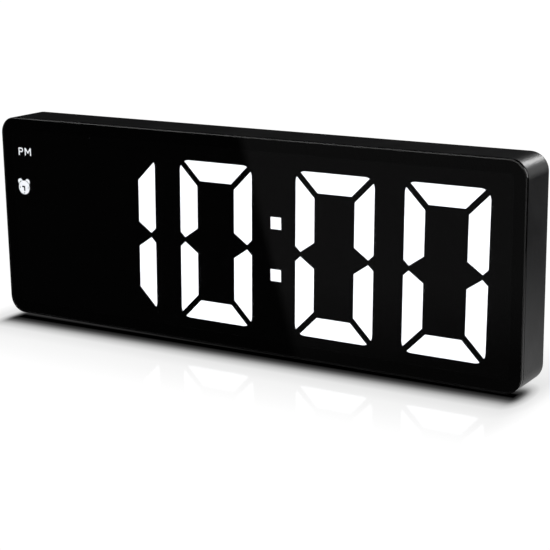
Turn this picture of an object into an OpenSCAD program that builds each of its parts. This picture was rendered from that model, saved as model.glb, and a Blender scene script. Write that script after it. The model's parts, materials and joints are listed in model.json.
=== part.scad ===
// A slim digital alarm clock with a smoked front lens and four large lit digits.
// Origin: bottom centre. +X is to the right seen from the front, the lens faces -Y, and +Z is up.

/* [Casing] */
// Width of the clock, left to right
body_w = 162; // [156:1:200]
// Height of the casing, without its feet
body_h = 57.8; // [57:0.2:75]
// Depth of the clock, from the lens to the rear edge of the housing
body_d = 14.5; // [14.2:0.1:20]
// Radius of the four corners seen from the front
corner_r = 4.8; // [3.6:0.1:7]
// Thickness of the housing walls
wall = 1.8; // [1.4:0.1:2.2]
// Rounding of the rear edge of the housing
rear_edge_r = 1.2; // [0.4:0.1:1.3]
// Thickness of the ledge round the front opening
ledge_t = 1.2; // [0.8:0.1:1.5]
// Width of the front rim, from the outside of the wall to the opening
rim_w = 3.5; // [2.8:0.1:3.8]
// How far the rubber feet stand proud
foot_proud = 0.5; // [0.3:0.1:2]
// Depth of the recess that holds each foot
foot_recess = 0.4; // [0.2:0.1:0.8]
// Length of a foot, along the clock
foot_l = 18; // [10:1:30]
// Width of a foot, front to back
foot_w = 10; // [6:0.5:10.5]
// Distance from the end of the clock to the middle of a foot
foot_inset = 21; // [16:1:40]

/* [Front lens] */
// Thickness of the lens
lens_t = 1; // [0.8:0.1:1.3]
// Polished bevel round the front of the lens
lens_bevel = 0.25; // [0.1:0.05:0.5]
// Thickness of the adhesive tape behind the lens
tape_t = 0.3; // [0.2:0.05:0.4]
// How far the tape stays back from the edge of the lens
tape_inset = 0.5; // [0.3:0.1:1.2]

/* [Digits] */
// Width of one digit
digit_w = 22.9; // [19:0.1:23.2]
// Height of one digit
digit_h = 43.65; // [38:0.05:44.5]
// Lean of the digits to the right, as a share of their height
slant = 0.018; // [0:0.002:0.03]
// Width of an upright stroke
stroke_v = 5.6; // [4:0.1:6.2]
// Height of a level stroke
stroke_h = 5.35; // [4:0.05:6]
// Gap between an upright stroke and a level one
mitre_gap = 1.65; // [0.8:0.05:1.9]
// Gap between the upper and the lower strokes at the waist
waist_gap = 1.25; // [0.8:0.05:1.5]
// Rounding of the outer corners of a digit
digit_r = 2.8; // [1:0.1:4]
// Distance from the side of a digit to the waist where the strokes meet
waist_in = 1.5; // [0.8:0.1:2]
// Gap between two digits of a pair
digit_gap = 8.4; // [7:0.1:9]
// Gap between the hours and the minutes
colon_gap = 13.4; // [10:0.1:14]
// Side of a colon dot
dot = 3.2; // [2.4:0.1:4.2]
// Distance between the middles of the two colon dots
dot_pitch = 14; // [10:0.1:18]
// Distance from the last digit to the right end of the lens
right_margin = 9.6; // [8.8:0.05:12]
// How far the digits sit below the middle of the lens
digit_drop = 0.65; // [0:0.05:1]
// Height of the letters of the afternoon sign
letter_h = 2.2; // [1.8:0.1:3]
// Width of the alarm sign's dial
bell_dial = 4; // [3:0.1:5]

/* [Light frame and board] */
// Depth of the light frame, from its face to the board
light_d = 4.9; // [4.5:0.1:5.2]
// Thickness of the light guide in each opening
guide_t = 2.6; // [1.5:0.1:3.4]
// Thickness of the circuit board
board_t = 1.2; // [0.8:0.1:1.4]
// Gap between the board and the housing walls
board_gap = 0.4; // [0.3:0.1:0.8]

/* [Rear cover] */
// Thickness of the rear cover
cover_t = 1.6; // [1.4:0.1:1.8]
// How far the rear cover sits in from the housing's edge
cover_recess = 0.25; // [0.1:0.05:0.5]
// Gap between the rear cover and the housing
cover_gap = 0.15; // [0.1:0.05:0.3]
// Radius of the bosses for the cover screws
boss_r = 2.3; // [2:0.1:2.5]
// Radius of a cover screw's thread
screw_r = 1; // [0.8:0.05:1.1]
// Radius of a cover screw's head
screw_head_r = 1.9; // [1.6:0.1:2.1]
// Depth of the recess round the controls
well_d = 0.8; // [0.4:0.1:0.9]

/* [Controls] */
// Length of a button cap
button_l = 9; // [6:0.5:10.5]
// Height of a button cap
button_h = 5; // [4:0.5:6]
// Distance between two buttons
button_pitch = 14; // [13:0.5:15]
// Travel of a button
button_travel = 0.3; // [0.2:0.05:0.4]
// Gap round a button cap
button_gap = 0.2; // [0.15:0.05:0.3]
// Travel of the sliding knob
slide_travel = 2; // [1.5:0.1:2.4]

/* [Power] */
// Diameter of the memory cell
cell_dia = 20; // [16:0.1:20.5]
// Thickness of the memory cell
cell_t = 3.2; // [2:0.1:3.25]
// Quarter turn of the battery door, in degrees
door_turn = 45; // [40:1:55]
// Width of the charging socket's shell
usb_w = 8.94; // [8.5:0.02:9.2]
// Height of the charging socket's shell
usb_h = 3.26; // [3:0.02:3.4]

/* [Hidden] */
$fn = 64;
eps = 0.01;

// Depths, from the front to the rear
y_front = -body_d / 2;
y_tape = y_front + lens_t;
y_face = y_tape + tape_t;
y_ledge = y_face + ledge_t;
y_board = y_face + light_d;
y_parts = y_board + board_t;
y_rear = body_d / 2;
y_cover = y_rear - cover_recess;
y_cover_in = y_cover - cover_t;

// Heights and widths of the casing
mid_z = foot_proud + body_h / 2;
inner_w = body_w - 2 * wall;
inner_h = body_h - 2 * wall;
inner_r = corner_r - wall;
window_w = body_w - 2 * rim_w;
window_h = body_h - 2 * rim_w;
window_r = 1.5;
fit_gap = 0.15;
side_gap = 0.3;
foot_r = 2;
foot_gap = 0.1;
foot_y = (y_face + y_rear) / 2 - 0.7;

// Digits: middles from left to right, and the strokes that show ten o'clock
digits_z = mid_z - digit_drop;
digit_4 = body_w / 2 - right_margin - digit_w / 2;
digit_3 = digit_4 - digit_w - digit_gap;
digit_2 = digit_3 - digit_w - colon_gap;
digit_1 = digit_2 - digit_w - digit_gap;
digit_xs = [digit_1, digit_2, digit_3, digit_4];
ALL_STROKES = [0, 1, 2, 3, 4, 5, 6];
ONE = [1, 2];
ZERO = [0, 1, 2, 3, 4, 5];
LIT = [ONE, ZERO, ZERO, ZERO];
mitre = mitre_gap / sqrt(2);
waist_z = waist_gap / 2;
waist_rise = 2.8;
waist_lap = 0.8;
arc_step = 15;

// Columns between the digits, which the screws and the small parts on the board follow
blank_x = digit_1 - digit_w / 2 - 7;
hours_x = (digit_1 + digit_2) / 2;
middle_x = (digit_2 + digit_3) / 2;
minutes_x = (digit_3 + digit_4) / 2;
colon_x = middle_x + 0.75;
colon_z = digits_z + 0.4;

// Signs at the left
sign_x = -body_w / 2 + 7.2;
pm_x = sign_x + 0.5;
pm_z = mid_z + 19.1;
bell_x = sign_x - 0.4;
bell_z = mid_z + 8.6;
sign_skin = 1;
print_t = 0.15;
sign_pocket = [8, 6];
letter_line = 0.37;
letter_gap = 0.55;
hand_line = 0.48;
bell_line = 0.2;

// Cavities that lighten the frame between and beside the strokes
cavity_wall = 1.2;
digit_cavity = [
    digit_w - 2 * (stroke_v + cavity_wall),
    digit_h / 2 - 1.5 * stroke_h - 2 * cavity_wall
];
blank_cavity = [11, 29.2];

// Screws
boss_in = boss_r + 0.3;
boss_x = body_w / 2 - wall - 4.2;
boss_z = body_h / 2 - wall - boss_in;
BOSSES = [for (x = [-boss_x, middle_x, boss_x], s = [-1, 1]) [x, mid_z + s * boss_z]];
thread_gap = 0.03;
hole_gap = 0.15;
tip_gap = 0.3;
screw_head_t = 1;
screw_l = 6.4;
head_sink = 1.1;
cross_line = 0.4;
board_screw_r = 0.95;
board_screw_head_r = 1.7;
board_screw_l = 3;
board_screw_z = 18.6;
BOARD_SCREWS = [for (x = [blank_x, hours_x, minutes_x], s = [-1, 1]) [x, digits_z + s * board_screw_z]];

// Controls on the rear, in a row
controls_z = mid_z + 12.4;
button_xs = [for (i = [0:3]) digit_4 + 2.05 - i * button_pitch];
button_rim = 0.7;
button_rim_t = 0.9;
button_lift = 0.15;
button_bevel = 0.2;
cap_proud = 0.65;
stem_r = 1.2;
switch_side = 5.2;
switch_h = 1.6;
switch_cover_t = 0.2;
switch_floor = 0.45;
plunger_r = 1.3;
plunger_top = 2.5;
plunger_base = switch_floor + button_travel + 0.15;
plunger_rim = 0.4;
plunger_rim_t = 0.3;
push_gap = 0.05;
knob_x = button_xs[3] - 16;
knob_rest = slide_travel / 2;
knob_stem = 1.6;
knob_foot = [3.2, 2.6, 1.5];
knob_foot_y = 1.2;
slide_case = [8.6, 3.9, 3.4];
slide_wall = 0.35;
slide_base_t = 0.9;
slide_gap = 0.05;
well_x0 = knob_x - 6.5;
well_x1 = button_xs[0] + button_l / 2 + 2.2;
well_h = button_h + 6;
well_r = 2.5;

// Cell, door and contacts
cell_x = digit_1 - 9.05;
cell_z = mid_z - 0.4;
cell_floor = 0.8;
cell_lift = 1;
cell_side_gap = 0.15;
cell_step = [1.1, 0.3];
holder_r = cell_dia / 2 + 1.6;
holder_h = 3.4;
holder_eye_r = 3.4;
holder_slot = [4, 6];
door_neck_r = cell_dia / 2 + 1;
door_rim_r = door_neck_r + 1.5;
door_t = 0.8;
door_gap = 0.05;
coin_slot = [13, 1.7, 0.5];
lug_r = door_neck_r + 1.3;
lug_t = 0.6;
lug_angle = 30;
lug_count = 3;
lug_drop = 0.1;
leaf_t = 0.2;
leaf_w = 5;
leaf_foot = 2.2;
contact_gap = 0.02;

// Power socket, sound, label and posts, as middles in the plane of the board
usb_at = [minutes_x + 7.7, mid_z - 9.4];
usb_wall = 0.3;
usb_len = y_cover - y_parts - 0.1;
usb_gap = 0.2;
usb_mouth = [0.9, 0.5];
usb_plug = 1;
usb_blade = [6.7, 0.7];
buzzer_at = [middle_x + 0.5, mid_z - 8.6];
buzzer_r = 6;
buzzer_h = 4.6;
buzzer_step = [0.6, 0.4];
buzzer_mouth = [1.3, 1.2];
vent_w = 1.1;
vent_h = 9;
vent_pitch = 2.4;
mic_at = [digit_3 + 1.5, mid_z - 10.4];
mic_r = 3;
mic_h = 2.5;
mic_hole_r = 0.6;
felt_t = 0.3;
label_at = [hours_x + 3.3, mid_z - 0.4];
label_size = [20, 26];
label_r = 1;
label_t = 0.12;
label_sink = 0.05;
post_x = 14 - body_w / 2;
REST_POSTS = [[post_x, -15], [post_x, 15], [middle_x - 12.5, 1], [digit_3 + 7.35, 1], [digit_4 + 10, 1]];
post_r = 1.5;
post_gap = 0.1;

// Small parts on the board
led_size = [2, 1.25, 0.7];
led_step = 3;
chip_at = [hours_x + 4.75, mid_z + 8.6];
chip_side = 7;
chip_h = 1.4;
chip_lift = 0.1;
DRIVERS = [for (z = [-5.4, -16.4]) [hours_x + 8.25, mid_z + z]];
driver_size = [9.9, 3.9, 1.5];
leg_w = 0.38;
leg_count = 8;
crystal_at = [hours_x + 12.75, mid_z + 15.6];
crystal_r = 1;
crystal_l = 6;
CAPACITORS = [[digit_4 + 6, -14], [digit_3 + 8.5, -16]];
capacitor_base = [5.4, 0.6];
capacitor_r = 2.5;
capacitor_h = 3.9;
resistor_size = [1.6, 0.8, 0.45];
ceramic_size = [1.6, 0.8, 0.8];
transistor_size = [2.9, 1.3, 1];
bead_at = [digit_4 + 11, mid_z - 11];
bead_r = 0.8;
bead_l = 3.4;

// ---- helpers ----

// A flat shape drawn as seen from the front, from depth y to y + t
module slab(y, t) {
    translate([0, y + t, 0]) rotate([90, 0, 0]) linear_extrude(t) children();
}

// Local +z points to the front, local x to the right seen from the front
module to_front(x, z, y) {
    translate([x, y, z]) rotate([90, 0, 0]) children();
}

// Local +z points to the rear, local x to the right seen from the rear
module to_rear(x, z, y) {
    translate([x, y, z]) rotate([90, 0, 180]) children();
}

// A rectangle with round corners, about its middle
module round_rect(w, h, r) {
    square([w - 2 * r, h], center = true);
    square([w, h - 2 * r], center = true);
    for (x = [-1, 1], y = [-1, 1]) translate([x * (w / 2 - r), y * (h / 2 - r)]) circle(r);
}

// The same, in the middle of the casing
module casing_rect(w, h, r) {
    translate([0, mid_z]) round_rect(w, h, r);
}

// An oblong with round ends
module oblong(w, h) {
    square([w - h, h], center = true);
    for (x = [-1, 1]) translate([x * (w - h) / 2, 0]) circle(h / 2);
}

// A flat plate whose upper edge is bevelled by c
module bevelled_plate(w, h, r, t, c) {
    linear_extrude(t - c) round_rect(w, h, r);
    translate([0, 0, t - c]) {
        rotate([90, 0, 90]) translate([0, 0, r - w / 2]) linear_extrude(w - 2 * r)
            polygon([[-h / 2, 0], [h / 2, 0], [h / 2 - c, c], [c - h / 2, c]]);
        rotate([90, 0, 0]) translate([0, 0, r - h / 2]) linear_extrude(h - 2 * r)
            polygon([[-w / 2, 0], [w / 2, 0], [w / 2 - c, c], [c - w / 2, c]]);
        for (x = [-1, 1], y = [-1, 1])
            translate([x * (w / 2 - r), y * (h / 2 - r), 0]) cylinder(h = c, r1 = r, r2 = r - c);
    }
}

// Half of an edge section: flat to the inside, rounded by e at the outside
module round_section(half, e) {
    square([half - e, e]);
    translate([half - e, 0]) intersection() {
        circle(e);
        square(e);
    }
}

// A flat plate whose upper edge is rounded by e
module rounded_plate(w, h, r, t, e) {
    linear_extrude(t - e) round_rect(w, h, r);
    translate([0, 0, t - e]) {
        rotate([90, 0, 90]) translate([0, 0, r - w / 2]) linear_extrude(w - 2 * r) {
            round_section(h / 2, e);
            mirror([1, 0]) round_section(h / 2, e);
        }
        for (a = [0, 180]) rotate([0, 0, a]) rotate([90, 0, 0]) translate([0, 0, r - h / 2])
            linear_extrude(h - 2 * r) round_section(w / 2, e);
        for (x = [-1, 1], y = [-1, 1]) translate([x * (w / 2 - r), y * (h / 2 - r), 0])
            rotate([0, 0, x > 0 ? (y > 0 ? 0 : 270) : (y > 0 ? 90 : 180)])
                rotate_extrude(angle = 90) round_section(r, e);
    }
}

// A cross-shaped driver recess at the top of a screw head
module driver_cross(span, depth) {
    for (a = [0, 90]) rotate([0, 0, a]) translate([-span / 2, -cross_line / 2, -depth])
        cube([span, cross_line, depth + eps]);
}

// ---- casing ----

module front_lens() {
    color([0.03, 0.03, 0.035]) to_front(0, mid_z, y_tape)
        bevelled_plate(body_w, body_h, corner_r, lens_t, lens_bevel);
}

module lens_tape() {
    color([0.02, 0.02, 0.02]) slab(y_tape, tape_t) difference() {
        casing_rect(body_w - 2 * tape_inset, body_h - 2 * tape_inset, corner_r - tape_inset);
        casing_rect(window_w, window_h, window_r);
    }
}

// Outline of one screw boss and the web that ties it to the wall; grow widens it
module boss_outline(at, grow) {
    out = at[1] > mid_z ? 1 : -1;
    translate(at) circle(boss_r + grow);
    translate([at[0], at[1] + out * (boss_in + wall / 2) / 2])
        square([2 * (boss_r + grow), boss_in + wall / 2], center = true);
}

module foot_pad(side, grow, low, high) {
    translate([side * (body_w / 2 - foot_inset), foot_y, low])
        linear_extrude(high - low) round_rect(foot_l + 2 * grow, foot_w + 2 * grow, foot_r + grow);
}

module housing() {
    color([0.16, 0.16, 0.17]) difference() {
        union() {
            difference() {
                to_rear(0, mid_z, y_face)
                    rounded_plate(body_w, body_h, corner_r, y_rear - y_face, rear_edge_r);
                slab(y_ledge, body_d) casing_rect(inner_w, inner_h, inner_r);
                slab(y_face - 1, ledge_t + 2) casing_rect(window_w, window_h, window_r);
            }
            for (b = BOSSES) slab(y_ledge, y_cover_in - y_ledge) boss_outline(b, 0);
        }
        for (b = BOSSES) to_rear(b[0], b[1], y_cover_in - screw_l)
            cylinder(h = screw_l + 1, r = screw_r + thread_gap);
        for (s = [-1, 1]) foot_pad(s, foot_gap, foot_proud - 1, foot_proud + foot_recess);
    }
}

module left_foot() {
    color([0.07, 0.07, 0.07]) foot_pad(-1, 0, 0, foot_proud + foot_recess);
}

module right_foot() {
    color([0.07, 0.07, 0.07]) foot_pad(1, 0, 0, foot_proud + foot_recess);
}

// ---- rear cover and what it carries ----

// A sector of a ring from r0 to r1, a degrees wide, about local +x
module ring_sector(r0, r1, a) {
    intersection() {
        difference() {
            circle(r1);
            circle(r0);
        }
        polygon([[0, 0], 2 * r1 * [cos(a / 2), -sin(a / 2)], 2 * r1 * [cos(a / 2), sin(a / 2)]]);
    }
}

// A round group of upright slots
module vents() {
    for (i = [-2:2]) translate([i * vent_pitch, 0]) rotate(90) oblong(vent_h - abs(i) * vent_w, vent_w);
}

// An outline cut right through the rear cover
module cover_cut() {
    slab(y_cover_in - 1, cover_t + 2) children();
}

module rear_cover() {
    color([0.13, 0.13, 0.14]) difference() {
        union() {
            slab(y_cover_in, cover_t)
                casing_rect(inner_w - 2 * cover_gap, inner_h - 2 * cover_gap, inner_r - cover_gap);
            for (p = REST_POSTS) to_rear(p[0], mid_z + p[1], y_parts + post_gap)
                cylinder(h = y_cover_in - y_parts, r = post_r);
        }
        slab(y_cover - well_d, well_d + 1) translate([(well_x0 + well_x1) / 2, controls_z])
            round_rect(well_x1 - well_x0, well_h, well_r);
        for (x = button_xs) cover_cut() translate([x, controls_z])
            oblong(button_l + 2 * button_gap, button_h + 2 * button_gap);
        cover_cut() translate([knob_x, controls_z])
            square([slide_travel + knob_stem + 2 * button_gap, knob_stem + 2 * button_gap], center = true);
        cover_cut() translate(usb_at) oblong(usb_w + 2 * usb_gap, usb_h + 2 * usb_gap);
        slab(y_cover - usb_mouth[1], 1) translate(usb_at)
            oblong(usb_w + 2 * usb_mouth[0], usb_h + 2 * usb_mouth[0]);
        cover_cut() translate(buzzer_at) vents();
        to_rear(mic_at[0], mic_at[1], y_cover_in - 1) cylinder(h = cover_t + 2, r = mic_hole_r);
        for (b = BOSSES) to_rear(b[0], b[1], y_cover_in - 1) {
            cylinder(h = cover_t + 2, r = screw_r + hole_gap);
            translate([0, 0, 1 + cover_t - head_sink]) cylinder(h = 3, r = screw_head_r + hole_gap);
        }
        to_rear(cell_x, cell_z, y_cover_in - 1) {
            cylinder(h = cover_t + 2, r = door_neck_r + fit_gap);
            translate([0, 0, 1 + cover_t - door_t - door_gap]) cylinder(h = 3, r = door_rim_r + fit_gap);
            for (i = [0:lug_count - 1]) rotate(i * 360 / lug_count + door_turn)
                linear_extrude(cover_t) ring_sector(door_neck_r - 1, lug_r + fit_gap, lug_angle + 4);
        }
        slab(y_cover - label_t - label_sink, 1) translate(label_at)
            round_rect(label_size[0] + 2 * fit_gap, label_size[1] + 2 * fit_gap, label_r + fit_gap);
    }
}

module battery_door() {
    neck_h = cover_t - door_t + lug_drop + lug_t;
    color([0.11, 0.11, 0.12]) to_rear(cell_x, cell_z, y_cover_in) difference() {
        union() {
            translate([0, 0, cover_t - door_t]) cylinder(h = door_t, r = door_rim_r);
            translate([0, 0, -lug_drop - lug_t]) cylinder(h = neck_h + eps, r = door_neck_r);
            for (i = [0:lug_count - 1]) rotate(i * 360 / lug_count) translate([0, 0, -lug_drop - lug_t])
                linear_extrude(lug_t) ring_sector(door_neck_r - 1, lug_r, lug_angle);
        }
        translate([0, 0, cover_t - coin_slot[2]]) linear_extrude(1) oblong(coin_slot[0], coin_slot[1]);
        translate([0, 0, -lug_drop - lug_t - eps]) cylinder(h = lug_t + 0.4, r = door_neck_r - 1.4);
    }
}

module screw(head_r, head_t, r, length) {
    difference() {
        union() {
            cylinder(h = head_t, r = head_r);
            translate([0, 0, -length]) cylinder(h = length + eps, r = r);
        }
        translate([0, 0, head_t]) driver_cross(head_r * 1.1, head_t * 0.6);
    }
}

module cover_screws() {
    shank = screw_l - tip_gap + cover_t - 2 * head_sink;
    color([0.25, 0.25, 0.26]) for (b = BOSSES) to_rear(b[0], b[1], y_cover - head_sink)
        screw(screw_head_r, screw_head_t, screw_r, shank);
}

module rating_label() {
    color([0.75, 0.76, 0.78]) slab(y_cover - label_t - label_sink, label_t) translate(label_at)
        round_rect(label_size[0], label_size[1], label_r);
}

// ---- display ----

// Corners of one stroke of a digit, about the digit's middle; 0 is the top and 6 the middle one
function stroke_points(k) =
    let (a = digit_w / 2, b = digit_h / 2)
    k == 0 ? [[mitre - a, b], [a - mitre, b], [a - stroke_h - mitre, b - stroke_h],
              [stroke_h + mitre - a, b - stroke_h]] :
    k == 1 ? [[a, waist_rise - waist_lap], [a, b - mitre], [a - stroke_v, b - stroke_v - mitre],
              [a - stroke_v, waist_z + waist_rise], [a - waist_in, waist_z]] :
    k == 2 ? [for (p = stroke_points(1)) [p[0], -p[1]]] :
    k == 3 ? [for (p = stroke_points(0)) [p[0], -p[1]]] :
    k == 4 ? [for (p = stroke_points(2)) [-p[0], p[1]]] :
    k == 5 ? [for (p = stroke_points(1)) [-p[0], p[1]]] :
    let (tip = waist_in + waist_gap, shoulder = tip + stroke_h / 2 * (stroke_v - waist_in) / waist_rise)
    [[tip - a, 0], [shoulder - a, stroke_h / 2], [a - shoulder, stroke_h / 2],
     [a - tip, 0], [a - shoulder, -stroke_h / 2], [shoulder - a, -stroke_h / 2]];

// A point of an upright digit, moved by the slant
function lean(p) = [p[0] + slant * p[1], p[1]];

// Outline of a leaning digit, with round corners
function digit_outline() =
    let (a = digit_w / 2 - digit_r, b = digit_h / 2 - digit_r, middles = [[a, b], [-a, b], [-a, -b], [a, -b]])
    [for (q = [0:3], t = [0:arc_step:90]) lean(middles[q] + digit_r * [cos(90 * q + t), sin(90 * q + t)])];

// One stroke, with the digit's round outer corners
module stroke(k) {
    intersection() {
        polygon([for (p = stroke_points(k)) lean(p)]);
        polygon(digit_outline());
    }
}

module strokes(digit, list) {
    for (k = list) translate([digit_xs[digit], digits_z]) stroke(k);
}

module dots() {
    for (s = [-1, 1]) translate([colon_x, colon_z] + lean([0, s * dot_pitch / 2])) square(dot, center = true);
}

// The bowl of the letter P, in by line all round
module letter_bowl(line) {
    bowl = letter_h * 0.3;
    flat = letter_h * 0.3;
    translate([letter_line, letter_h - 2 * bowl + line]) square([flat, 2 * (bowl - line)]);
    translate([letter_line + flat, letter_h - bowl]) circle(bowl - line);
}

// The letter P, from its lower left corner, with its counter filled
module letter_p() {
    square([letter_line + eps, letter_h]);
    letter_bowl(0);
}

// The counter of the letter P
module letter_p_counter() {
    letter_bowl(letter_line * 0.9);
}

// The letter M, from its lower left corner
module letter_m() {
    w = letter_h * 1.05;
    v = letter_h * 0.35;
    inner = letter_h - letter_line * 1.7;
    polygon([[0, 0], [0, letter_h], [letter_line, letter_h], [w / 2, v + letter_line],
             [w - letter_line, letter_h], [w, letter_h], [w, 0], [w - letter_line, 0],
             [w - letter_line, inner], [w / 2, v - letter_line * 0.6], [letter_line, inner],
             [letter_line, 0]]);
}

module pm_outline() {
    translate([pm_x - letter_h - 0.1, pm_z - letter_h / 2]) letter_p();
    translate([pm_x - letter_h + letter_h * 0.75 + letter_gap, pm_z - letter_h / 2]) letter_m();
}

// A round alarm clock with two bells
module alarm_outline() {
    r = bell_dial / 2;
    translate([bell_x, bell_z]) {
        circle(r);
        for (s = [-1, 1]) translate([s * r * 0.68, r * 0.86]) circle(r * 0.42);
    }
}

// The lines between the bells and the dial, the two hands, and the marks at three, six and nine
module alarm_print() {
    r = bell_dial / 2;
    translate([bell_x, bell_z]) {
        for (s = [-1, 1]) intersection() {
            translate([s * r * 0.68, r * 0.86]) circle(r * 0.3);
            difference() {
                circle(r + bell_line);
                circle(r);
            }
        }
        translate([-r * 0.4, 0]) square([r * 0.5, hand_line]);
        translate([-hand_line / 4, -r * 0.52]) square([hand_line, r * 0.52 + hand_line]);
        for (p = [[-0.76, 0], [0.76, 0], [0, -0.8]]) translate(r * p) square(hand_line * 0.7, center = true);
    }
}

// What is printed in black on the signs
module print_outline() {
    translate([pm_x - letter_h - 0.1, pm_z - letter_h / 2]) letter_p_counter();
    alarm_print();
}

module sign(skin) {
    difference() {
        slab(y_face, skin) children();
        slab(y_face - 1, 1 + print_t) print_outline();
    }
}

module light_frame() {
    color([0.04, 0.04, 0.045]) difference() {
        union() {
            slab(y_face, ledge_t + 0.2)
                casing_rect(window_w - 2 * fit_gap, window_h - 2 * fit_gap, window_r - fit_gap);
            slab(y_ledge + 0.05, y_board - y_ledge - 0.05)
                casing_rect(inner_w - 2 * side_gap, inner_h - 2 * side_gap, inner_r - side_gap);
        }
        for (b = BOSSES) slab(y_ledge - 0.1, light_d) boss_outline(b, side_gap);
        for (d = [0:3]) slab(y_face - 1, light_d + 2) strokes(d, ALL_STROKES);
        slab(y_face - 1, light_d + 2) dots();
        slab(y_face - 1, light_d + 2) pm_outline();
        slab(y_face - 1, light_d + 2) alarm_outline();
        slab(y_face + sign_skin, light_d) {
            translate([pm_x, pm_z]) square([sign_pocket[0], sign_pocket[1] * 0.8], center = true);
            translate([bell_x, bell_z]) square(sign_pocket, center = true);
        }
        for (x = digit_xs, s = [-1, 1]) slab(y_face + sign_skin, light_d)
            translate([x, digits_z] + lean([0, s * (digit_h - stroke_h) / 4]))
                square(digit_cavity, center = true);
        slab(y_face + sign_skin, light_d) translate([blank_x - 1, digits_z])
            square(blank_cavity, center = true);
        for (b = BOARD_SCREWS) to_rear(b[0], b[1], y_board - board_screw_l - tip_gap)
            cylinder(h = board_screw_l + 1, r = board_screw_r + thread_gap);
    }
}

module lit_digit(digit) {
    color([0.95, 0.97, 1]) slab(y_face, guide_t) strokes(digit, LIT[digit]);
}

module hour_tens_segments() {
    lit_digit(0);
}

module hour_units_segments() {
    lit_digit(1);
}

module minute_tens_segments() {
    lit_digit(2);
}

module minute_units_segments() {
    lit_digit(3);
}

module unlit_segments() {
    color([0.3, 0.3, 0.31]) for (d = [0:3]) slab(y_face, guide_t)
        strokes(d, [for (k = ALL_STROKES) if (len(search(k, LIT[d])) == 0) k]);
}

module colon_dots() {
    color([0.95, 0.97, 1]) slab(y_face, guide_t) dots();
}

module pm_sign() {
    color([0.95, 0.97, 1]) sign(sign_skin) pm_outline();
}

module alarm_sign() {
    color([0.95, 0.97, 1]) sign(sign_skin) alarm_outline();
}

module sign_print() {
    color([0.02, 0.02, 0.02]) slab(y_face, print_t) print_outline();
}

// ---- circuit board and small parts ----

module led(at, upright) {
    to_front(at[0], at[1], y_board) rotate(upright ? 90 : 0)
        translate([-led_size[0] / 2, -led_size[1] / 2, 0]) cube(led_size);
}

// Two chips behind each stroke, one behind each dot, and the chips of the signs
module segment_leds() {
    side = (digit_w - stroke_v) / 2;
    level = (digit_h - stroke_h) / 2;
    color([0.9, 0.85, 0.5]) {
        for (x = digit_xs) {
            for (z = [-1, 0, 1], s = [-1, 1]) led([x, digits_z] + lean([s * led_step, z * level]), false);
            for (sx = [-1, 1], sz = [-1, 1], s = [-1, 1])
                led([x, digits_z] + lean([sx * side, sz * digit_h / 4 + s * led_step]), true);
        }
        for (s = [-1, 1]) led([colon_x, colon_z] + lean([0, s * dot_pitch / 2]), false);
        for (s = [-1, 1]) led([pm_x + s * led_step / 2, pm_z], false);
        led([bell_x, bell_z], false);
    }
}

module circuit_board() {
    color([0.05, 0.2, 0.12]) difference() {
        slab(y_board, board_t)
            casing_rect(inner_w - 2 * board_gap, inner_h - 2 * board_gap, inner_r - board_gap);
        for (b = BOSSES) slab(y_board - 1, board_t + 2) boss_outline(b, side_gap);
        for (b = BOARD_SCREWS) to_rear(b[0], b[1], y_board - 1)
            cylinder(h = board_t + 2, r = board_screw_r + hole_gap);
    }
}

module board_screws() {
    color([0.7, 0.7, 0.72]) for (b = BOARD_SCREWS)
        to_rear(b[0], b[1], y_parts) screw(board_screw_head_r, 1, board_screw_r, board_t + board_screw_l);
}

module button(i) {
    cap_t = cap_proud + cover_t - well_d + button_lift + eps;
    stem_y = y_parts + plunger_top + push_gap - y_cover_in;
    color([0.2, 0.2, 0.21]) to_rear(button_xs[i], controls_z, y_cover_in) {
        translate([0, 0, -button_lift - eps])
            bevelled_plate(button_l, button_h, button_h / 2 - 0.1, cap_t, button_bevel);
        translate([0, 0, -button_lift - button_rim_t]) linear_extrude(button_rim_t)
            oblong(button_l + 2 * button_rim, button_h + 2 * button_rim);
        translate([0, 0, stem_y]) cylinder(h = -stem_y - button_rim_t, r = stem_r);
    }
}

module set_button() {
    button(0);
}

module up_button() {
    button(1);
}

module down_button() {
    button(2);
}

module alarm_button() {
    button(3);
}

module plunger(i) {
    color([0.85, 0.85, 0.83]) to_rear(button_xs[i], controls_z, y_parts + plunger_base) {
        cylinder(h = plunger_top - plunger_base, r = plunger_r);
        cylinder(h = plunger_rim_t, r = plunger_r + plunger_rim);
    }
}

module set_plunger() {
    plunger(0);
}

module up_plunger() {
    plunger(1);
}

module down_plunger() {
    plunger(2);
}

module alarm_plunger() {
    plunger(3);
}

module switch_bodies() {
    color([0.12, 0.12, 0.12]) for (x = button_xs) to_rear(x, controls_z, y_parts) difference() {
        translate([-switch_side / 2, -switch_side / 2, 0])
            cube([switch_side, switch_side, switch_h - switch_cover_t]);
        translate([0, 0, switch_floor]) cylinder(h = switch_h, r = plunger_r + plunger_rim + 0.2);
    }
}

module switch_covers() {
    color([0.72, 0.72, 0.74]) for (x = button_xs) to_rear(x, controls_z, y_parts + switch_h - switch_cover_t)
        linear_extrude(switch_cover_t) difference() {
            square(switch_side, center = true);
            circle(plunger_r + 0.1);
        }
}

module sound_knob() {
    stem_y = knob_foot_y + knob_foot[2] - eps;
    stem_top = y_cover - push_gap - 0.1 - y_parts;
    color([0.22, 0.22, 0.23]) to_rear(knob_x - knob_rest, controls_z, y_parts) {
        translate([-knob_foot[0] / 2, -knob_foot[1] / 2, knob_foot_y]) cube(knob_foot);
        translate([0, 0, stem_y]) linear_extrude(stem_top - stem_y) square(knob_stem, center = true);
    }
}

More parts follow.
